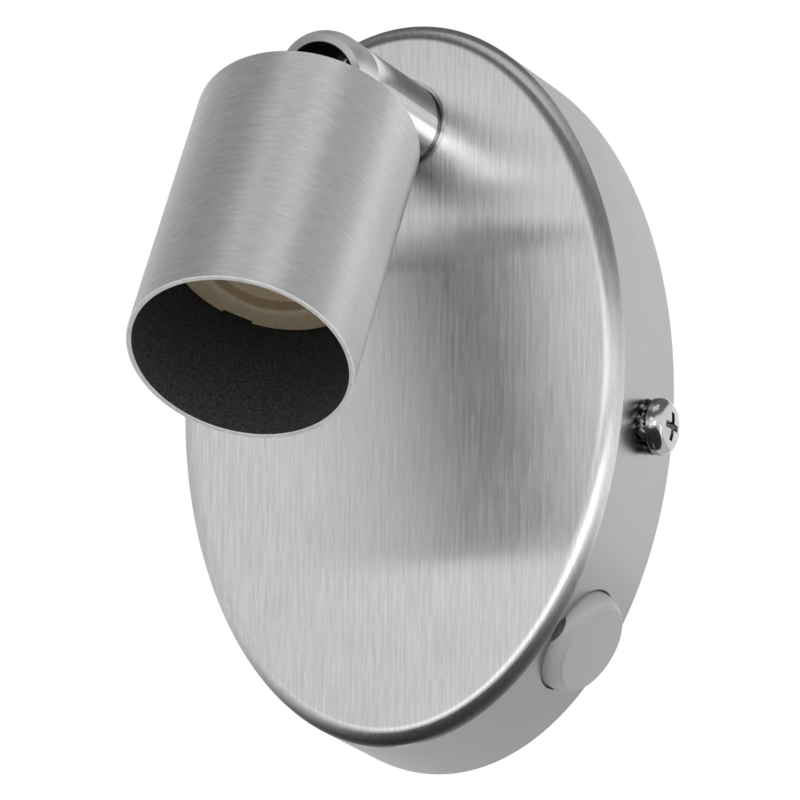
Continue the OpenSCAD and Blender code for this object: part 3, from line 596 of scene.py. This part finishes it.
add_roughness(tree, remap(tree, toward_mouth, DOME_ROUGHNESS, 0.0, *DOME_FROM_Y))
# Painted shade: close round the hinge, in the stem's hollow end and its slot, the steel's colour is scaled
# down to near black, standing in for the shade in there.
from_hinge = add_node(tree, "ShaderNodeVectorMath", {0: object_coords(tree), 1: HINGE}, operation="DISTANCE")
painted_shade = remap(tree, from_hinge.outputs["Value"], PAINTED_SHADE_LEVEL, 1.0, *PAINTED_SHADE_REACH)
steel = shader.inputs["Base Color"].links[0].from_socket
shade_painted = add_node(tree, "ShaderNodeVectorMath", {0: steel, "Scale": painted_shade}, operation="SCALE")
tree.links.new(shade_painted.outputs["Vector"], shader.inputs["Base Color"])
fork_steel = brushed_steel("fork_satin", grain=(1, 1, 1), tone=0.55, rough=(0.25, 0.35), bump=0.03,
                           contrast=0.05)
dress(stem_grain, "stem")
dress(fork_steel, "hinge_fork")

# Lamp head: a drawn steel tube, closed flat above and open below. It is brushed round outside,
# turned on its closed end and painted matt black inside. The cut edge at its mouth is left bright.
HEAD_LEAN = math.radians(28.5)
NECK = 0.012
HEAD_LEN = 0.050
HEAD_R = 0.018
HEAD_T = 0.0008
HEAD_EDGE = 0.0011
HEAD_LIP = 0.0002
HEAD_INNER_EDGE = 0.0003
HEAD_STEPS = 256
NECK_HOLE_R = 0.0028
GROOVE_SCALE = 700.0
head_place = Matrix.Translation(HINGE) @ Matrix.Rotation(-HEAD_LEAN, 4, "X")
top = -NECK
mouth = -NECK - HEAD_LEN
inner_r = HEAD_R - HEAD_T
inner_edge_r = inner_r - HEAD_INNER_EDGE
inner_top = top - HEAD_T
tube_outside = [(NECK_HOLE_R, top)] + arc(HEAD_R - HEAD_EDGE, top - HEAD_EDGE, HEAD_EDGE, 90, 0)
tube_lip = (arc(HEAD_R - HEAD_LIP, mouth + HEAD_LIP, HEAD_LIP, 0, -90, 4)
            + arc(inner_r + HEAD_LIP, mouth + HEAD_LIP, HEAD_LIP, -90, -180, 4))
tube_inside = (arc(inner_edge_r, inner_top - HEAD_INNER_EDGE, HEAD_INNER_EDGE, 0, 90, 4)
               + [(NECK_HOLE_R, inner_top), (NECK_HOLE_R, top)])
head_finishes = [3] + [0] * (len(tube_outside) - 1) + [2] * (len(tube_lip) - 1) + [1] * len(tube_inside)
head_mesh = turned_mesh("head_tube", tube_outside + tube_lip + tube_inside, head_place, HEAD_STEPS,
                        head_finishes)
head_grain = brushed_steel("head_grain", grain=(0.2, 0.2, 1), tone=0.92, rough=(0.46, 0.54), bump=0.08,
                           across=0.95, place=head_place, fineness=5500, contrast=0.2)
head_black = grained("head_black_lining", grey(0.025), grey(0.090), scale=2600, roughness=0.85, bump=0.25,
                     spread=(0.4, 0.8))
head_black.node_tree.nodes["Principled BSDF"].inputs["Specular IOR Level"].default_value = 0.25
head_rim = brushed_steel("head_bright_rim", grain=(1, 1, 1), tone=0.88, rough=(0.35, 0.45), bump=0.05,
                         contrast=0.2, metallic=0.35)
head_end = brushed_steel("head_end_turned", grain=(1, 1, 1), tone=0.55, rough=(0.18, 0.24), contrast=0.05)
tree = head_end.node_tree
grooves = add_node(tree, "ShaderNodeTexWave", {
    "Vector": object_coords(tree, head_place), "Scale": GROOVE_SCALE, "Distortion": 0.3},
    wave_type="RINGS", rings_direction="Z")
relief(tree, tree.nodes["Principled BSDF"], grooves.outputs["Fac"], 0.05, SCRATCH_DEPTH)
new_piece("lamp_head", head_mesh, "head", "head_shell", slot="head_steel",
          materials=(head_grain, head_black, head_rim, head_end))

# Lampholder: a pressed and fired ceramic body, screwed to its strap. Its front ring is bevelled
# and has a small notch, a lip stands up inside it, and the floor round the lamp shell is sunken.
HOLDER_R = 0.01685
HOLDER_RING_H = 0.005
HOLDER_WAIST_R = 0.0135
HOLDER_HANG = 0.0072
HOLDER_LEN = 0.0206
HOLDER_STEPS = 192
LIP_R = 0.0133
LIP_T = 0.0018
LIP_H = 0.001
LIP_EDGE = 0.0004
RING_EDGE = 0.0003
FLOOR_DEEP = 0.0011
WELL_R = 0.00745
WELL_DEEP = 0.017
HOLDER_NOTCH_W = 0.005
HOLDER_NOTCH_DEEP = 0.0009
HOLDER_NOTCH_TURN = math.radians(132)
holder_top = top - HOLDER_HANG
holder_front = holder_top - HOLDER_LEN
ring_top = holder_front + HOLDER_RING_H
lip_low = holder_front - LIP_H
floor_z = holder_front + FLOOR_DEEP
well_top = floor_z + WELL_DEEP
holder_profile = ([(0, holder_top), (HOLDER_WAIST_R, holder_top), (HOLDER_WAIST_R, ring_top)]
                  + [(HOLDER_R - LIP_EDGE, ring_top), (HOLDER_R, ring_top - LIP_EDGE)]
                  + arc(HOLDER_R - RING_EDGE, holder_front + RING_EDGE, RING_EDGE, 0, -90)
                  + [(LIP_R + LIP_EDGE, holder_front), (LIP_R, holder_front - LIP_EDGE)]
                  + arc(LIP_R - LIP_EDGE, lip_low + LIP_EDGE, LIP_EDGE, 0, -90, 4)
                  + arc(LIP_R - LIP_T + LIP_EDGE, lip_low + LIP_EDGE, LIP_EDGE, -90, -180, 4)
                  + [(LIP_R - LIP_T, floor_z), (WELL_R, floor_z), (WELL_R, well_top), (0, well_top)])
holder_notch_place = head_place @ Matrix.Rotation(HOLDER_NOTCH_TURN, 4, "Z")
holder_notch = block_cutter(holder_notch_place, (2 * HOLDER_NOTCH_DEEP, HOLDER_NOTCH_W, 2 * HOLDER_NOTCH_W),
                            (HOLDER_R, 0, holder_front))
holder_body = turned_mesh("ceramic_body", holder_profile, head_place, HOLDER_STEPS, degrees=40)
holder_mesh = smooth_mesh(cut_away(holder_body, [holder_notch]), 40)
ceramic = grained("beige_ceramic", (0.54, 0.43, 0.29), (0.66, 0.54, 0.38), scale=1800, detail=5.0,
                  roughness=0.45, bump=0.15, depth=0.00004, spread=(0.3, 0.7))
new_piece("ceramic_holder", holder_mesh, "head", "lampholder", slot="ceramic", materials=(ceramic,))

# Lamp shell: thin brass, rolled with the round thread that the lamp screws into, with a flared
# mouth. It stands in the ceramic's well.
SHELL_BORE_R = 0.0070
SHELL_WALL = 0.0004
SHELL_LEN = 0.014
SHELL_FLARE = 0.0005
THREAD_PITCH = 0.00282
SHELL_STEPS = 96
THREAD_STEPS = 90


def shell_mesh():
    """A rolled thread as a closed skin: the inner face follows the outer one inside it."""
    form = bmesh.new()
    heights = [floor_z + SHELL_LEN * k / THREAD_STEPS for k in range(THREAD_STEPS + 1)]

    def thread_ring(height, share):
        spots = []
        for i in range(SHELL_STEPS):
            turn = 2 * math.pi * i / SHELL_STEPS
            wave = 0.5 + 0.5 * math.cos(2 * math.pi * (height - floor_z) / THREAD_PITCH - turn)
            radius = SHELL_BORE_R + SHELL_WALL * (share * 0.5 + wave * 0.5)
            spots.append(form.verts.new((radius * math.cos(turn), radius * math.sin(turn), height)))
        return spots

    def plain_ring(radius, height):
        return [form.verts.new(spot) for spot in ring_points(radius, height, SHELL_STEPS)]

    outer_r = SHELL_BORE_R + SHELL_WALL
    flare_r = outer_r + SHELL_FLARE
    rings = [thread_ring(height, 1) for height in heights[::-1]]
    rings += [plain_ring(flare_r, floor_z - SHELL_WALL * 0.2), plain_ring(flare_r, floor_z - SHELL_WALL),
              plain_ring(outer_r, floor_z - SHELL_WALL)]
    rings += [thread_ring(height, 0) for height in heights]
    for low, high in zip(rings, rings[1:] + rings[:1]):
        for i in range(SHELL_STEPS):
            j = (i + 1) % SHELL_STEPS
            form.faces.new([low[i], low[j], high[j], high[i]])
    bmesh.ops.transform(form, matrix=head_place, verts=form.verts)
    bmesh.ops.recalc_face_normals(form, faces=form.faces)
    return smooth_mesh(to_mesh("lamp_shell", form), 60)


new_piece("threaded_shell", shell_mesh(), "head", "lamp_shell", slot="brass", materials=(brass,))

# Leads: single stranded wires in a smooth dark cover, from the terminal block through the switch
# and the stem to the clamps on the ceramic.
lead_cover = grained("dark_lead_cover", (0.020, 0.018, 0.016), (0.040, 0.036, 0.032), scale=1200,
                     roughness=0.35)
dress(lead_cover, "base_leads", "stem_leads", "head_leads")

# Studio: a pale floor well below the light, a white surround, soft lamps and a dark card that the
# steel mirrors. The card stands clear of the light, and neither the camera nor the shadows see it.
FLOOR_Z = -0.6
FLOOR_HALF = 4.0
CARD_Z = -0.3


def level_sheet(name, low, high, height, material):
    """A flat level sheet between two corners. It isn't part of the light."""
    corners = [(low[0], low[1]), (high[0], low[1]), (high[0], high[1]), (low[0], high[1])]
    mesh = bpy.data.meshes.new(name)
    mesh.from_pydata([(x, y, height) for x, y in corners], [], [(0, 1, 2, 3)])
    mesh.materials.append(material)
    sheet = loose_object(name, mesh)
    return sheet


pale = grained("pale_floor", grey(0.80), grey(0.84), scale=40, roughness=0.9)
level_sheet("floor", (-FLOOR_HALF, -FLOOR_HALF), (FLOOR_HALF, FLOOR_HALF), FLOOR_Z, pale)
felt = grained("dark_card", grey(0.02), grey(0.035), scale=60, roughness=0.9)
card = level_sheet("card_below", (-0.5, -0.9), (0.8, 0.15), CARD_Z, felt)
card.visible_camera = False
card.visible_diffuse = False
card.visible_shadow = False

# Surround: plain white to the camera. What the steel mirrors is bright up to a height and dim
# overhead. The dim part starts higher behind the light, and reaches down in a band in front of it.
BRIGHT = 1.05
DIM = 0.18
DIM_FROM = (0.33, 0.52)
REAR_RAISE = 0.35
BAND_X = 0.25
BAND_HALF_W = 0.3
BAND_DROP = 0.32
BAND_DEPTH = (-0.8, -0.4)
LEFT_DIM = 0.70
LEFT_SIDE = (-0.45, -0.05)
FILL_LEFT = 0.60
FILL_RIGHT = 1.10
FILL_SIDES = (-0.7, 0.7)
world = bpy.data.worlds.new("studio")
bpy.context.scene.world = world
world.use_nodes = True
tree = world.node_tree
rays = add_node(tree, "ShaderNodeLightPath").outputs
glossy = rays["Is Glossy Ray"]
seen = maths(tree, "MAXIMUM", rays["Is Camera Ray"], glossy)
seen = maths(tree, "MAXIMUM", seen, rays["Is Transmission Ray"])
axes = axes_of(tree, add_node(tree, "ShaderNodeTexCoord").outputs["Generated"])
rear = maths(tree, "POWER", maths(tree, "MAXIMUM", axes["Y"], 0.0), 4.0)
height = maths(tree, "SUBTRACT", axes["Z"], maths(tree, "MULTIPLY", rear, REAR_RAISE))
front = remap(tree, axes["Y"], BAND_DROP, 0.0, *BAND_DEPTH)
aside = maths(tree, "ABSOLUTE", maths(tree, "SUBTRACT", axes["X"], BAND_X))
band = maths(tree, "MULTIPLY", remap(tree, aside, 1.0, 0.0, 0.0, BAND_HALF_W), front)
overhead = remap(tree, maths(tree, "ADD", height, band), BRIGHT, DIM, *DIM_FROM)
left_side = remap(tree, axes["X"], LEFT_DIM, 1.0, *LEFT_SIDE)
mirrored = maths(tree, "MULTIPLY", maths(tree, "MULTIPLY", overhead, glossy), left_side)
fill = remap(tree, axes["X"], FILL_LEFT, FILL_RIGHT, *FILL_SIDES)
white = remap(tree, seen, fill, 1.0, 0, 1)
white = maths(tree, "MULTIPLY", white, maths(tree, "SUBTRACT", 1.0, glossy))
surround = tree.nodes["Background"]
surround.inputs["Color"].default_value = (1, 1, 1, 1)
tree.links.new(maths(tree, "ADD", white, mirrored), surround.inputs["Strength"])

# Lamps: soft boxes about a metre away, all turned to the canopy's middle on the wall. Their sizes
# are width and height in metres.


def soft_lamp(name, place, size, watts):
    data = bpy.data.lights.new(name, "AREA")
    data.shape = "RECTANGLE"
    data.size, data.size_y = size
    data.energy = watts
    lamp = loose_object(name, data)
    lamp.location = place
    lamp.rotation_euler = (-Vector(place)).to_track_quat("-Z", "Y").to_euler()


soft_lamp("overhead", place=(0.25, -0.4, 0.88), size=(0.8, 0.5), watts=0.85)
soft_lamp("front_right", place=(0.50, -0.86, -0.03), size=(0.45, 0.25), watts=0.6)
soft_lamp("front", place=(-0.15, -0.99, -0.08), size=(0.7, 0.2), watts=0.22)
soft_lamp("front_high", place=(0.12, -0.95, 0.28), size=(0.6, 0.14), watts=0.22)
soft_lamp("right", place=(0.95, 0.15, -0.20), size=(0.4, 0.4), watts=0.4)

# Camera: far off with a long lens, below the light and to its right, as the photo was taken. Its
# angles are in radians, its lens and film in millimetres.
CAMERA_PLACE = (0.54753, -1.19862, -0.37452)
CAMERA_LENS = 379.43
FILM_W = 36
YAW = 0.4351993
PITCH = 0.2785404
ROLL = 0.0087904
camera_data = bpy.data.cameras.new("camera")
camera_data.sensor_width = FILM_W
camera_data.lens = CAMERA_LENS
camera = loose_object("camera", camera_data)
bpy.context.scene.camera = camera
forward = Vector((-math.sin(YAW) * math.cos(PITCH), math.cos(YAW) * math.cos(PITCH), math.sin(PITCH)))
right = Vector((math.cos(YAW), math.sin(YAW), 0))
up = right.cross(forward)
rightward = math.cos(ROLL) * right + math.sin(ROLL) * up
upward = -math.sin(ROLL) * right + math.cos(ROLL) * up
turned = Matrix((rightward, upward, -forward)).transposed().to_4x4()
camera.matrix_world = Matrix.Translation(CAMERA_PLACE) @ turned
bpy.context.scene.view_settings.view_transform = "Standard"
